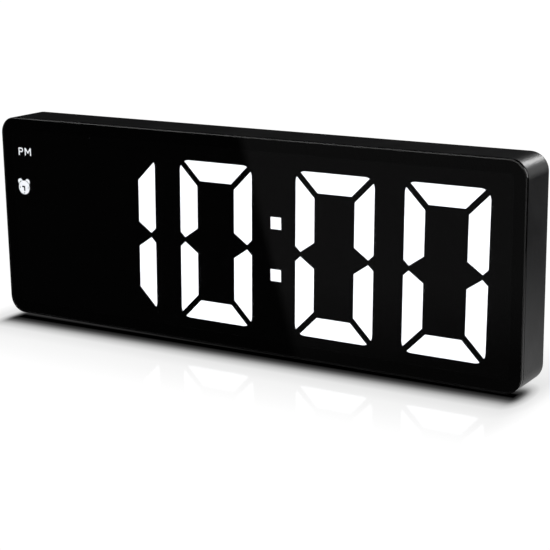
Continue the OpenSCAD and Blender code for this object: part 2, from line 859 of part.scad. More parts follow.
module slide_switch_case() {
    hollow = [slide_case[0] - 2 * slide_wall, slide_case[1] - 2 * slide_wall];
    slot = [slide_travel + knob_stem + 0.4, knob_stem + 0.4];
    color([0.72, 0.72, 0.74]) to_rear(knob_x, controls_z, y_parts) difference() {
        linear_extrude(slide_case[2]) square([slide_case[0], slide_case[1]], center = true);
        translate([0, 0, -1]) linear_extrude(slide_case[2] - slide_wall + 1) square(hollow, center = true);
        translate([0, 0, 1]) linear_extrude(slide_case[2]) square(slot, center = true);
    }
}

module slide_switch_base() {
    inset = 2 * (slide_wall + slide_gap);
    color([0.3, 0.25, 0.15]) to_rear(knob_x, controls_z, y_parts) linear_extrude(slide_base_t)
        square([slide_case[0] - inset, slide_case[1] - inset], center = true);
}

module coin_cell() {
    color([0.75, 0.76, 0.77]) to_rear(cell_x, cell_z, y_parts + cell_lift) {
        cylinder(h = cell_step[1], r = cell_dia / 2 - cell_step[0]);
        translate([0, 0, cell_step[1] - eps]) cylinder(h = cell_t - cell_step[1] + eps, r = cell_dia / 2);
    }
}

module cell_holder() {
    color([0.08, 0.08, 0.08]) to_rear(cell_x, cell_z, y_parts) difference() {
        cylinder(h = holder_h, r = holder_r);
        translate([0, 0, cell_floor]) cylinder(h = holder_h, r = cell_dia / 2 + cell_side_gap);
        translate([0, 0, -1]) cylinder(h = holder_h, r = holder_eye_r);
        for (s = [-1, 1]) translate([s * holder_r, 0, holder_h / 2])
            cube([holder_slot[0], holder_slot[1], holder_h + 2], center = true);
    }
}

module positive_contact() {
    reach = cell_dia / 2 + contact_gap;
    color([0.85, 0.8, 0.6]) to_rear(cell_x, cell_z, y_parts) for (s = [0, 180]) rotate(s) {
        translate([reach, -leaf_w / 2, 0]) cube([leaf_t, leaf_w, holder_h]);
        translate([reach + leaf_t - eps, -leaf_w / 2, 0]) cube([leaf_foot, leaf_w, leaf_t]);
    }
}

// A leaf under the cell: flat on the board, then a ramp up to a short pad that meets the cell
module negative_contact() {
    pad = [1.4, 2.4];
    top = cell_lift - contact_gap;
    color([0.85, 0.8, 0.6]) to_rear(cell_x, cell_z, y_parts) rotate([90, 0, 0]) translate([0, 0, -1.5])
        linear_extrude(3) polygon([
            [-2.6, 0], [2.6, 0], [2.6, leaf_t], [-pad[0], leaf_t], [pad[0] + leaf_t, cell_lift - leaf_t],
            [pad[1], cell_lift - leaf_t], [pad[1], top], [pad[0], top], [-2.6, leaf_t]
        ]);
}

module usb_shell() {
    color([0.75, 0.75, 0.77]) to_rear(usb_at[0], usb_at[1], y_parts) linear_extrude(usb_len) difference() {
        oblong(usb_w, usb_h);
        oblong(usb_w - 2 * usb_wall, usb_h - 2 * usb_wall);
    }
}

module usb_tongue() {
    plug_w = usb_w - 2 * (usb_wall + contact_gap);
    plug_h = usb_h - 2 * (usb_wall + contact_gap);
    color([0.06, 0.06, 0.06]) to_rear(usb_at[0], usb_at[1], y_parts) {
        linear_extrude(usb_plug) oblong(plug_w, plug_h);
        translate([0, 0, usb_plug - eps]) linear_extrude(usb_len - usb_plug - 1.2)
            square(usb_blade, center = true);
    }
}

module buzzer() {
    color([0.05, 0.05, 0.05]) to_rear(buzzer_at[0], buzzer_at[1], y_parts) difference() {
        union() {
            cylinder(h = buzzer_h - buzzer_step[1], r = buzzer_r);
            cylinder(h = buzzer_h, r = buzzer_r - buzzer_step[0]);
        }
        translate([0, 0, buzzer_h - buzzer_mouth[1]]) cylinder(h = 2, r = buzzer_mouth[0]);
    }
}

module microphone() {
    color([0.7, 0.7, 0.72]) to_rear(mic_at[0], mic_at[1], y_parts) cylinder(h = mic_h, r = mic_r);
}

module microphone_felt() {
    color([0.05, 0.05, 0.06]) to_rear(mic_at[0], mic_at[1], y_parts + mic_h)
        cylinder(h = felt_t, r = mic_r - 0.5);
}

module clock_chip() {
    color([0.07, 0.07, 0.07]) to_rear(chip_at[0], chip_at[1], y_parts + chip_lift)
        linear_extrude(chip_h) square(chip_side, center = true);
}

module driver_chips() {
    color([0.07, 0.07, 0.07]) for (d = DRIVERS) to_rear(d[0], d[1], y_parts + chip_lift)
        linear_extrude(driver_size[2]) square([driver_size[0], driver_size[1]], center = true);
}

// A bent leg that runs out along local +x from the side of a chip
module leg() {
    rotate([90, 0, 0]) translate([0, 0, -leg_w / 2]) linear_extrude(leg_w) polygon([
        [0.01, 0.8], [0.35, 0.8], [0.55, 0.15], [1, 0.15], [1, 0], [0.45, 0], [0.25, 0.65], [0.01, 0.65]
    ]);
}

module leg_row(pitch, out) {
    for (i = [0:leg_count - 1], side = [0, 180]) rotate(side)
        translate([out, (i - (leg_count - 1) / 2) * pitch, 0]) leg();
}

module chip_legs() {
    color([0.75, 0.75, 0.77]) {
        for (a = [0, 90]) to_rear(chip_at[0], chip_at[1], y_parts) rotate(a) leg_row(0.8, chip_side / 2);
        for (d = DRIVERS) to_rear(d[0], d[1], y_parts) rotate(90) leg_row(1.27, driver_size[1] / 2);
    }
}

module crystal() {
    color([0.75, 0.76, 0.78]) translate([crystal_at[0], y_parts + crystal_r + 0.05, crystal_at[1]])
        rotate([0, 90, 0]) cylinder(h = crystal_l, r = crystal_r);
}

module filter_capacitors() {
    color([0.6, 0.62, 0.65]) for (p = CAPACITORS) to_rear(p[0], mid_z + p[1], y_parts) {
        linear_extrude(capacitor_base[1]) square(capacitor_base[0], center = true);
        translate([0, 0, capacitor_base[1] - eps]) cylinder(h = capacitor_h, r = capacitor_r);
    }
}

// Small blocks on the board; places are across the clock, and up from its middle
module chips(size, places) {
    for (p = places) to_rear(p[0], mid_z + p[1], y_parts)
        linear_extrude(size[2]) square([size[0], size[1]], center = true);
}

module chip_resistors() {
    under_drivers = [for (i = [0:5]) [hours_x - 2.25 + i * 2.8, -11]];
    low_row = [for (i = [0:4]) [hours_x + 14.75 + i * 2.8, -20.5]];
    color([0.1, 0.1, 0.12]) chips(resistor_size, concat(under_drivers, low_row));
}

module chip_capacitors() {
    over_chip = [for (i = [0:3]) [hours_x - 2.25 + i * 3.2, 15.4]];
    by_socket = [for (i = [0:2]) [digit_4, -6 - i * 3]];
    color([0.6, 0.5, 0.35]) chips(ceramic_size, concat(over_chip, by_socket));
}

module transistors() {
    color([0.07, 0.07, 0.07]) chips(transistor_size, [for (i = [0:2]) [digit_3 - 7, -3 - i * 4]]);
}

module thermistor() {
    color([0.75, 0.35, 0.2]) translate([bead_at[0], y_parts + bead_r + 0.05, bead_at[1]])
        cylinder(h = bead_l, r = bead_r, center = true);
}

front_lens();
lens_tape();
housing();
rear_cover();
battery_door();
cover_screws();
left_foot();
right_foot();
rating_label();
light_frame();
hour_tens_segments();
hour_units_segments();
minute_tens_segments();
minute_units_segments();
colon_dots();
pm_sign();
alarm_sign();
sign_print();
unlit_segments();
segment_leds();
circuit_board();
board_screws();
set_button();
up_button();
down_button();
alarm_button();
set_plunger();
up_plunger();
down_plunger();
alarm_plunger();
switch_bodies();
switch_covers();
sound_knob();
slide_switch_case();
slide_switch_base();
coin_cell();
cell_holder();
positive_contact();
negative_contact();
usb_shell();
usb_tongue();
buzzer();
microphone();
microphone_felt();
clock_chip();
driver_chips();
chip_legs();
crystal();
filter_capacitors();
chip_resistors();
chip_capacitors();
transistors();
thermistor();
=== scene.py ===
"""Looks for a slim digital alarm clock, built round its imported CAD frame. Lengths are in metres."""

import json
import math

import bmesh
import bpy
from mathutils import Matrix, Vector


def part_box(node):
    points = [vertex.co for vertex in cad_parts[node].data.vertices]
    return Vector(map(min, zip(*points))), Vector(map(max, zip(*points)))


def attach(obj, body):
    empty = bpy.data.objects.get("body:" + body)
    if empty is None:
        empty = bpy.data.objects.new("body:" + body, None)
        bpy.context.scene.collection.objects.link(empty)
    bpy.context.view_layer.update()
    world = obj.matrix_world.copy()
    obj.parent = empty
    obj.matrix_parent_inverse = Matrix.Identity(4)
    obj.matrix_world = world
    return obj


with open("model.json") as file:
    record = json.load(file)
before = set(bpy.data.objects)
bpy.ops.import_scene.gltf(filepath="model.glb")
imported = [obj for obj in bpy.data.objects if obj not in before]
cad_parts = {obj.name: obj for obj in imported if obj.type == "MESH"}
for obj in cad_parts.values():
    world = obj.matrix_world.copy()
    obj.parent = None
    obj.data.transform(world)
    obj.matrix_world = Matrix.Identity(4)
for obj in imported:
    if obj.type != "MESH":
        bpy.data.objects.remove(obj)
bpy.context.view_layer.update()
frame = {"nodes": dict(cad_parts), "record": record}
MM = 0.001

# ---- places read from the frame ----

lens_low, lens_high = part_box("front_lens")
shell_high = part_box("housing")[1]
clock_w = lens_high.x - lens_low.x
middle = (lens_low + lens_high) / 2
face_y = lens_low.y
base_z = lens_low.z

# ---- camera, at the product view ----

SENSOR = 36.0
FRAME_SIDE = 550
FOCAL = 1500.6
AZIMUTH = math.radians(32.18)
ELEVATION = math.radians(14.11)
ROLL = math.radians(-0.814)
DISTANCE = 2.4214 * clock_w
AIM = Vector((0.0707 * clock_w, face_y, base_z + 0.1359 * clock_w))


def aim_camera():
    """Makes the camera and gives back the place where it stands."""
    back = Vector((math.sin(AZIMUTH) * math.cos(ELEVATION),
                   -math.cos(AZIMUTH) * math.cos(ELEVATION), math.sin(ELEVATION)))
    level = Vector((math.cos(AZIMUTH), math.sin(AZIMUTH), 0))
    upward = back.cross(level)
    right = math.cos(ROLL) * level + math.sin(ROLL) * upward
    top = -math.sin(ROLL) * level + math.cos(ROLL) * upward
    data = bpy.data.cameras.new("product_view")
    data.sensor_width = SENSOR
    data.lens = SENSOR * FOCAL / FRAME_SIDE
    data.clip_start = 10 * MM
    camera = bpy.data.objects.new("product_view", data)
    spin = Matrix((right, top, back)).transposed().to_4x4()
    camera.matrix_world = Matrix.Translation(AIM + back * DISTANCE) @ spin
    bpy.context.scene.collection.objects.link(camera)
    bpy.context.scene.camera = camera
    return AIM + back * DISTANCE


eye = aim_camera()

# ---- node helpers ----


def wire(tree, source, target):
    tree.links.new(source, target)


def add(tree, kind, **values):
    """A new node with its properties set."""
    node = tree.nodes.new(kind)
    for name, value in values.items():
        setattr(node, name, value)
    return node


def sums(tree, operation, first, second=None):
    """A math node on sockets or plain numbers."""
    node = add(tree, "ShaderNodeMath", operation=operation)
    for slot, value in zip(node.inputs, (first, second)):
        if isinstance(value, bpy.types.NodeSocket):
            wire(tree, value, slot)
        elif value is not None:
            slot.default_value = value
    return node.outputs[0]


def spread(tree, value, low, high, out_low, out_high):
    """Maps a value from one range to another, held at its ends."""
    node = add(tree, "ShaderNodeMapRange")
    wire(tree, value, node.inputs["Value"])
    for name, number in (("From Min", low), ("From Max", high), ("To Min", out_low), ("To Max", out_high)):
        node.inputs[name].default_value = number
    return node.outputs["Result"]


# ---- stage: floor, surroundings and lights ----

FLOOR_SIDE = 6.0
FLOOR_WHITE = 1.04
FLOOR_MIRROR = 0.16
FLOOR_BLUR = 0.05
MIRROR_NEAR = 6 * MM
MIRROR_FAR = 42 * MM
MIRROR_SQUEEZE = 6.0

# The contact shadow: its core on the floor, its reach, and its brightness along that reach.
SHADE_AHEAD = 1.2 * MM
SHADE_BEHIND = 1 * MM
SHADE_LEFT = 5.5 * MM
SHADE_RIGHT = 2.2 * MM
SHADE_REACH = 44 * MM
SHADE_SQUEEZE = 2.4
SHADE_SKEW = 0.022
# Pairs of a share of the reach and the brightness there.
SHADE_STEPS = ((0.0, 0.0), (0.05, 0.04), (0.09, 0.16), (0.16, 0.58), (0.24, 0.88), (0.40, 0.97), (1.0, 1.0))

# What the walls mirror: a white floor beside and behind the clock, which dims with distance.
BOUNCE_NEAR = 0.52
BOUNCE_FAR = 0.01
BOUNCE_REACH = 0.15
BOUNCE_SIDE = 1.5
BOUNCE_DROP = 0.1 * MM

# What the glossy faces mirror: a dark card in front, with one slanted edge, and softer light overhead.
SKY = 0.8
CARD_DARK = 0.016
CARD_LIGHT = 0.10
CARD_DIM = 0.04
CARD_TOP = Vector((1.0 * MM, face_y, base_z + 57.8 * MM))
CARD_FOOT = Vector((17.5 * MM, face_y, base_z))
SIDE_GLOSS = 0.5
REAR_GLOSS = 0.004
FRONT_GLOSS = 0.28
ZENITH_GLOSS = 1.05

# Where one part of the surroundings fades into the next: across the card's slanted edge in the first,
# and along a direction's X, Y or Z in the others.
CARD_EDGE_FADE = (-0.002, 0.004)
CARD_DIM_FADE = (-0.30, -0.25)
CARD_FOOT_FADE = (-0.6, -0.4)
SIDE_FADE = (0.55, 0.75)
REAR_FADE = (-0.05, 0.3)
ZENITH_FADE = (0.3, 0.75)
HORIZON_FADE = (-0.04, 0.06)

# Lamps: the direction they shine from, their distance, the lengths of their sides, and their power in watts.
CORNER_LIGHT = ((0.24, 0.82, 0.51), 0.5, (0.12, 0.12), 1.2)
KEY_LIGHT = ((0.44, -0.54, 0.72), 0.6, (0.10, 0.10), 1.5)
REAR_LIGHT = ((0.75, 0.55, 0.45), 0.7, (0.8, 0.8), 2.2)


def mirrored(point):
    """The direction in which a point of the flat front mirrors the camera's ray."""
    ray = point - eye
    return Vector((ray.x, -ray.y, ray.z)).normalized()


def blend_values(tree, factor, first, second):
    """Goes from the first value to the second with the factor."""
    mix = add(tree, "ShaderNodeMix", data_type="FLOAT")
    for socket, value in (("Factor", factor), ("A", first), ("B", second)):
        if isinstance(value, bpy.types.NodeSocket):
            wire(tree, value, mix.inputs[socket])
        else:
            mix.inputs[socket].default_value = value
    return mix.outputs["Result"]


def card_edge(tree, way, height):
    """Steps from the card's dark part to its lighter part across the plane of its slanted edge."""
    normal = mirrored(CARD_TOP).cross(mirrored(CARD_FOOT)).normalized()
    lighter_side = CARD_FOOT + Vector((20 * MM, 0, 0))
    if normal.dot(mirrored(lighter_side)) < 0:
        normal = -normal
    dot = add(tree, "ShaderNodeVectorMath", operation="DOT_PRODUCT")
    wire(tree, way, dot.inputs[0])
    dot.inputs[1].default_value = normal
    lower = spread(tree, height, *CARD_DIM_FADE, CARD_DIM, CARD_LIGHT)
    beyond = spread(tree, dot.outputs["Value"], *CARD_EDGE_FADE, 0.0, 1.0)
    edged = blend_values(tree, beyond, CARD_DARK, lower)
    return blend_values(tree, spread(tree, height, *CARD_FOOT_FADE, 0.0, 1.0), CARD_DARK, edged)


def surroundings():
    """White to the eye, even for soft light, and a dark studio with its cards for gloss."""
    world = bpy.data.worlds.new("studio")
    bpy.context.scene.world = world
    world.use_nodes = True
    tree = world.node_tree
    tree.nodes.clear()
    way = add(tree, "ShaderNodeTexCoord").outputs["Generated"]
    path = add(tree, "ShaderNodeLightPath")
    apart = add(tree, "ShaderNodeSeparateXYZ")
    wire(tree, way, apart.inputs[0])
    to_right = spread(tree, apart.outputs["X"], *SIDE_FADE, 0.0, 1.0)
    to_rear = spread(tree, apart.outputs["Y"], *REAR_FADE, 0.0, 1.0)
    low = blend_values(tree, to_right, card_edge(tree, way, apart.outputs["Z"]), SIDE_GLOSS)
    low = blend_values(tree, to_rear, low, CARD_DARK)
    high = spread(tree, apart.outputs["Z"], *ZENITH_FADE, FRONT_GLOSS, ZENITH_GLOSS)
    high = blend_values(tree, to_rear, high, REAR_GLOSS)
    above = spread(tree, apart.outputs["Z"], *HORIZON_FADE, 0.0, 1.0)
    gloss = blend_values(tree, above, low, high)
    soft = blend_values(tree, path.outputs["Is Diffuse Ray"], gloss, SKY)
    level = blend_values(tree, path.outputs["Is Camera Ray"], soft, 1.0)
    background = add(tree, "ShaderNodeBackground")
    background.inputs["Color"].default_value = (1, 1, 1, 1)
    wire(tree, level, background.inputs["Strength"])
    wire(tree, background.outputs[0], add(tree, "ShaderNodeOutputWorld").inputs["Surface"])


def from_box(tree, low, high, squeeze=1.0, skew=0.0):
    """Distance on the floor from a rectangle. Along X it counts squeeze times, and skew turns it a little."""
    place = add(tree, "ShaderNodeSeparateXYZ")
    wire(tree, add(tree, "ShaderNodeNewGeometry").outputs["Position"], place.inputs[0])
    across = place.outputs["X"]
    deep = sums(tree, "SUBTRACT", place.outputs["Y"], sums(tree, "MULTIPLY", across, skew))
    squares = []
    for along, least, most, times in ((across, low[0], high[0], squeeze), (deep, low[1], high[1], 1.0)):
        offset = sums(tree, "SUBTRACT", along, (least + most) / 2)
        outside = sums(tree, "SUBTRACT", sums(tree, "ABSOLUTE", offset), (most - least) / 2)
        outside = sums(tree, "MULTIPLY", sums(tree, "MAXIMUM", outside, 0.0), times)
        squares.append(sums(tree, "MULTIPLY", outside, outside))
    return sums(tree, "SQRT", sums(tree, "ADD", squares[0], squares[1]))


def flat_sheet(name, low, high, height):
    """A level sheet of the stage with an empty material."""
    around = ((low[0], low[1]), (high[0], low[1]), (high[0], high[1]), (low[0], high[1]))
    corners = [(x, y, height) for x, y in around]
    mesh = bpy.data.meshes.new(name)
    mesh.from_pydata(corners, [], [(0, 1, 2, 3)])
    sheet = bpy.data.objects.new(name, mesh)
    bpy.context.scene.collection.objects.link(sheet)
    material = bpy.data.materials.new(name)
    material.use_nodes = True
    material.node_tree.nodes.clear()
    mesh.materials.append(material)
    return sheet, material.node_tree


def white_floor():
    """A white floor with a soft contact shadow and a faint mirror image near the clock."""
    half = FLOOR_SIDE / 2
    floor, tree = flat_sheet("floor", (-half, -half), (half, half), 0)
    core = from_box(tree, (lens_low.x + SHADE_LEFT, face_y - SHADE_AHEAD),
                    (lens_high.x - SHADE_RIGHT, face_y + SHADE_BEHIND), SHADE_SQUEEZE, SHADE_SKEW)
    ramp = add(tree, "ShaderNodeValToRGB")
    marks = ramp.color_ramp.elements
    while len(marks) < len(SHADE_STEPS):
        marks.new(1.0)
    for mark, (place, tone) in zip(marks, SHADE_STEPS):
        mark.position = place
        mark.color = (tone, tone, tone, 1)
    wire(tree, sums(tree, "DIVIDE", core, SHADE_REACH), ramp.inputs["Fac"])
    glow = add(tree, "ShaderNodeEmission")
    glow.inputs["Strength"].default_value = FLOOR_WHITE
    wire(tree, ramp.outputs["Color"], glow.inputs["Color"])
    shine = add(tree, "ShaderNodeBsdfGlossy")
    shine.inputs["Roughness"].default_value = FLOOR_BLUR
    mix = add(tree, "ShaderNodeMixShader")
    near = from_box(tree, (lens_low.x, face_y), (lens_high.x, shell_high.y), MIRROR_SQUEEZE)
    image = spread(tree, near, MIRROR_NEAR, MIRROR_FAR, FLOOR_MIRROR, 0.0)
    wire(tree, sums(tree, "MULTIPLY", image, ramp.outputs["Color"]), mix.inputs["Fac"])
    wire(tree, glow.outputs[0], mix.inputs[1])
    wire(tree, shine.outputs[0], mix.inputs[2])
    wire(tree, mix.outputs[0], add(tree, "ShaderNodeOutputMaterial").inputs["Surface"])
    floor.visible_glossy = False
    floor.visible_transmission = False


def bounce_floor():
    """The part of the floor that the walls mirror, kept apart so that the dark front stays dark."""
    near_corner = (lens_low.x, lens_high.y)
    sheet, tree = flat_sheet("bounce_floor", near_corner, (BOUNCE_SIDE, BOUNCE_SIDE), -BOUNCE_DROP)
    away = from_box(tree, (lens_low.x, lens_low.y), (lens_high.x, shell_high.y))
    glow = add(tree, "ShaderNodeEmission")
    wire(tree, spread(tree, away, 0.0, BOUNCE_REACH, BOUNCE_NEAR, BOUNCE_FAR), glow.inputs["Strength"])
    wire(tree, glow.outputs[0], add(tree, "ShaderNodeOutputMaterial").inputs["Surface"])
    sheet.visible_camera = False
    sheet.visible_diffuse = False
    sheet.visible_transmission = False


def soft_box(name, lamp_facts, goal):
    """A soft lamp that shines on the goal."""
    toward, distance, size, power = lamp_facts
    data = bpy.data.lights.new(name, "AREA")
    data.shape = "RECTANGLE"
    data.size, data.size_y = size
    data.energy = power
    lamp = bpy.data.objects.new(name, data)
    place = goal + Vector(toward).normalized() * distance
    facing = (place - goal).to_track_quat("Z", "Y").to_matrix().to_4x4()
    lamp.matrix_world = Matrix.Translation(place) @ facing
    lamp.visible_camera = False
    bpy.context.scene.collection.objects.link(lamp)


def light_the_stage():
    """One lamp for the gleam on the upper right corner, one from the front, and a wide one behind."""
    corner = Vector((shell_high.x, middle.y, shell_high.z))
    soft_box("corner_light", CORNER_LIGHT, corner)
    soft_box("key_light", KEY_LIGHT, corner)
    soft_box("rear_light", REAR_LIGHT, middle)


surroundings()
white_floor()
bounce_floor()
light_the_stage()
bpy.context.scene.view_settings.view_transform = "Standard"

# ---- finishes ----

# The parts of a noise that each effect stretches from none to all.
NOISE_SPAN = (0.3, 0.7)
LINE_SPAN = (0.35, 0.65)
BREAK_SPAN = (0.35, 0.6)
SPECK_SPAN = (0.58, 0.72)

# How much a surface bends before it counts as an edge, how broken the rubbing is, and its least share.
BEND_SPAN = (0.02, 0.25)
BREAK_SCALE = 350.0
LEAST_RUB = 0.35

# How far a face looks up before dust settles on it, and the dust that lies on any other face.
FACING_SPAN = (0.1, 0.9)
LEAST_DUST = 0.15


def effect(name, inputs, outputs):
    """An empty node group with named inputs and outputs."""
    group = bpy.data.node_groups.new(name, "ShaderNodeTree")
    for label, value in inputs.items():
        socket = group.interface.new_socket(label, in_out="INPUT", socket_type="NodeSocketFloat")
        socket.default_value = value
    for label, kind in outputs.items():
        group.interface.new_socket(label, in_out="OUTPUT", socket_type=kind)
    return group, add(group, "NodeGroupInput"), add(group, "NodeGroupOutput")


def grain_effect():
    """The fine spark-eroded grain of moulded plastic, with slow patches of handling shine."""
    group, given, out = effect(
        "moulded_grain", {"Scale": 4000.0, "Patch Scale": 60.0},
        {"Height": "NodeSocketFloat", "Shade": "NodeSocketFloat", "Patch": "NodeSocketFloat"})
    place = add(group, "ShaderNodeTexCoord").outputs["Object"]
    fine = add(group, "ShaderNodeTexNoise")
    fine.inputs["Detail"].default_value = 3
    wire(group, place, fine.inputs["Vector"])
    wire(group, given.outputs["Scale"], fine.inputs["Scale"])
    cells = add(group, "ShaderNodeTexVoronoi", feature="SMOOTH_F1")
    wire(group, place, cells.inputs["Vector"])
    wire(group, given.outputs["Scale"], cells.inputs["Scale"])
    wire(group, sums(group, "ADD", fine.outputs["Fac"], cells.outputs["Distance"]), out.inputs["Height"])
    patch = add(group, "ShaderNodeTexNoise")
    patch.inputs["Detail"].default_value = 4
    patch.inputs["Roughness"].default_value = 0.6
    wire(group, place, patch.inputs["Vector"])
    wire(group, given.outputs["Patch Scale"], patch.inputs["Scale"])
    wire(group, spread(group, fine.outputs["Fac"], *NOISE_SPAN, 0.0, 1.0), out.inputs["Shade"])
    wire(group, spread(group, patch.outputs["Fac"], *NOISE_SPAN, 0.0, 1.0), out.inputs["Patch"])
    return group


def scuff_effect():
    """Faint hairlines that run along X, as on wiped gloss and brushed metal."""
    group, given, out = effect(
        "hairlines", {"Scale": 900.0, "Stretch": 0.02},
        {"Height": "NodeSocketFloat", "Line": "NodeSocketFloat"})
    place = add(group, "ShaderNodeTexCoord").outputs["Object"]
    stretch = add(group, "ShaderNodeCombineXYZ")
    wire(group, given.outputs["Stretch"], stretch.inputs["X"])
    for axis in ("Y", "Z"):
        stretch.inputs[axis].default_value = 1.0
    scaled = add(group, "ShaderNodeVectorMath", operation="MULTIPLY")
    wire(group, place, scaled.inputs[0])
    wire(group, stretch.outputs[0], scaled.inputs[1])
    lines = add(group, "ShaderNodeTexNoise")
    lines.inputs["Detail"].default_value = 2
    wire(group, scaled.outputs[0], lines.inputs["Vector"])
    wire(group, given.outputs["Scale"], lines.inputs["Scale"])
    wire(group, lines.outputs["Fac"], out.inputs["Height"])
    wire(group, spread(group, lines.outputs["Fac"], *LINE_SPAN, 0.0, 1.0), out.inputs["Line"])
    return group


def edge_effect():
    """A mask of the sharp edges that hands and cloths rub."""
    group, given, out = effect("rubbed_edge", {"Radius": 0.4 * MM}, {"Edge": "NodeSocketFloat"})
    softened = add(group, "ShaderNodeBevel", samples=4)
    wire(group, given.outputs["Radius"], softened.inputs["Radius"])
    dot = add(group, "ShaderNodeVectorMath", operation="DOT_PRODUCT")
    wire(group, softened.outputs[0], dot.inputs[0])
    wire(group, add(group, "ShaderNodeNewGeometry").outputs["Normal"], dot.inputs[1])
    bend = sums(group, "SUBTRACT", 1.0, dot.outputs["Value"])
    broken = add(group, "ShaderNodeTexNoise")
    broken.inputs["Scale"].default_value = BREAK_SCALE
    wire(group, add(group, "ShaderNodeTexCoord").outputs["Object"], broken.inputs["Vector"])
    rubbed = sums(group, "MULTIPLY", spread(group, bend, *BEND_SPAN, 0.0, 1.0),
                  spread(group, broken.outputs["Fac"], *BREAK_SPAN, LEAST_RUB, 1.0))
    wire(group, rubbed, out.inputs["Edge"])
    return group


def dust_effect():
    """Fine specks that settle on the faces that look up."""
    group, given, out = effect("settled_dust", {"Scale": 1400.0}, {"Dust": "NodeSocketFloat"})
    apart = add(group, "ShaderNodeSeparateXYZ")
    wire(group, add(group, "ShaderNodeNewGeometry").outputs["Normal"], apart.inputs[0])
    upward = spread(group, apart.outputs["Z"], *FACING_SPAN, LEAST_DUST, 1.0)
    specks = add(group, "ShaderNodeTexNoise")
    specks.inputs["Detail"].default_value = 5
    specks.inputs["Roughness"].default_value = 0.7
    wire(group, add(group, "ShaderNodeTexCoord").outputs["Object"], specks.inputs["Vector"])
    wire(group, given.outputs["Scale"], specks.inputs["Scale"])
    fallen = spread(group, specks.outputs["Fac"], *SPECK_SPAN, 0.0, 1.0)
    wire(group, sums(group, "MULTIPLY", upward, fallen), out.inputs["Dust"])
    return group


GRAIN = grain_effect()
HAIR = scuff_effect()
EDGE = edge_effect()
DUST = dust_effect()
DUST_COLOUR = (0.12, 0.115, 0.105, 1)
RUB_LIGHTENS = 3

# How far roughness swings each way between patches of plastic and between brushed lines.
PATCH_STEP = 0.08
BRUSH_STEP = 0.06

# Relief of the grain, of brushed metal and of the lens.
GRAIN_STRENGTH = 0.5
BRUSH_SCALE = 900.0
BRUSH_STRETCH = 0.05
BRUSH_STRENGTH = 0.3
BRUSH_DEPTH = 0.004 * MM
LENS_HAIR_SCALE = 500.0
LENS_HAIR_STRETCH = 0.15
LENS_HAIR_STRENGTH = 0.05
LENS_HAIR_DEPTH = 0.001 * MM


def blank(name):
    """A new material with its tree and its shader."""
    material = bpy.data.materials.new(name)
    material.use_nodes = True
    tree = material.node_tree
    return material, tree, tree.nodes["Principled BSDF"]


def use(tree, group, **values):
    """Places an effect in a tree with its own values."""
    node = add(tree, "ShaderNodeGroup")
    node.node_tree = group
    for label, value in values.items():
        node.inputs[label.replace("_", " ")].default_value = value
    return node


def between(tree, factor, dark, light, socket):
    """Feeds the socket a colour that goes from dark to light with the factor."""
    mix = add(tree, "ShaderNodeMix", data_type="RGBA")
    wire(tree, factor, mix.inputs["Factor"])
    mix.inputs["A"].default_value = (*dark, 1)
    mix.inputs["B"].default_value = (*light, 1)
    wire(tree, mix.outputs["Result"], socket)


def over(tree, socket, mask, amount, colour):
    """Lays a colour over what already feeds the socket, as far as the mask and the amount say."""
    under = socket.links[0].from_socket
    mix = add(tree, "ShaderNodeMix", data_type="RGBA")
    wire(tree, sums(tree, "MULTIPLY", mask, amount), mix.inputs["Factor"])
    wire(tree, under, mix.inputs["A"])
    mix.inputs["B"].default_value = colour
    wire(tree, mix.outputs["Result"], socket)


def raised(tree, shader, height, strength, distance):
    """Gives the shader a relief."""
    bump = add(tree, "ShaderNodeBump")
    bump.inputs["Strength"].default_value = strength
    bump.inputs["Distance"].default_value = distance
    wire(tree, height, bump.inputs["Height"])
    wire(tree, bump.outputs["Normal"], shader.inputs["Normal"])


def grained(name, dark, light, rough, scale=4000.0, depth=0.02, specular=0.5, rub=0.0, dust=0.0):
    """A moulded plastic between two colours, with its grain depth in mm, rubbed and dusty as told."""
    material, tree, shader = blank(name)
    grain = use(tree, GRAIN, Scale=scale)
    between(tree, grain.outputs["Shade"], dark, light, shader.inputs["Base Color"])
    wire(tree, spread(tree, grain.outputs["Patch"], 0, 1, rough - PATCH_STEP, rough + PATCH_STEP),
         shader.inputs["Roughness"])
    raised(tree, shader, grain.outputs["Height"], GRAIN_STRENGTH, depth * MM)
    shader.inputs["Specular IOR Level"].default_value = specular
    if rub:
        edge = use(tree, EDGE)
        polish = tuple(min(1.0, RUB_LIGHTENS * part) for part in light)
        over(tree, shader.inputs["Base Color"], edge.outputs["Edge"], rub, (*polish, 1))
    if dust:
        over(tree, shader.inputs["Base Color"], use(tree, DUST).outputs["Dust"], dust, DUST_COLOUR)
    return material


def metal(name, dark, light, rough):
    """A brushed metal between two colours."""
    material, tree, shader = blank(name)
    hair = use(tree, HAIR, Scale=BRUSH_SCALE, Stretch=BRUSH_STRETCH)
    between(tree, hair.outputs["Line"], dark, light, shader.inputs["Base Color"])
    wire(tree, spread(tree, hair.outputs["Line"], 0, 1, rough - BRUSH_STEP, rough + BRUSH_STEP),
         shader.inputs["Roughness"])
    raised(tree, shader, hair.outputs["Height"], BRUSH_STRENGTH, BRUSH_DEPTH)
    shader.inputs["Metallic"].default_value = 1.0
    return material


def smoked_acrylic():
    """The dark clear sheet in front of the digits, with faint wiping hairlines."""
    material, tree, shader = blank("smoked_acrylic")
    hair = use(tree, HAIR, Scale=LENS_HAIR_SCALE, Stretch=LENS_HAIR_STRETCH)
    between(tree, hair.outputs["Line"], (0.2, 0.2, 0.205), (0.22, 0.22, 0.226), shader.inputs["Base Color"])
    raised(tree, shader, hair.outputs["Height"], LENS_HAIR_STRENGTH, LENS_HAIR_DEPTH)
    shader.inputs["Roughness"].default_value = 0.015
    shader.inputs["IOR"].default_value = 1.49
    shader.inputs["Transmission Weight"].default_value = 1.0
    return material


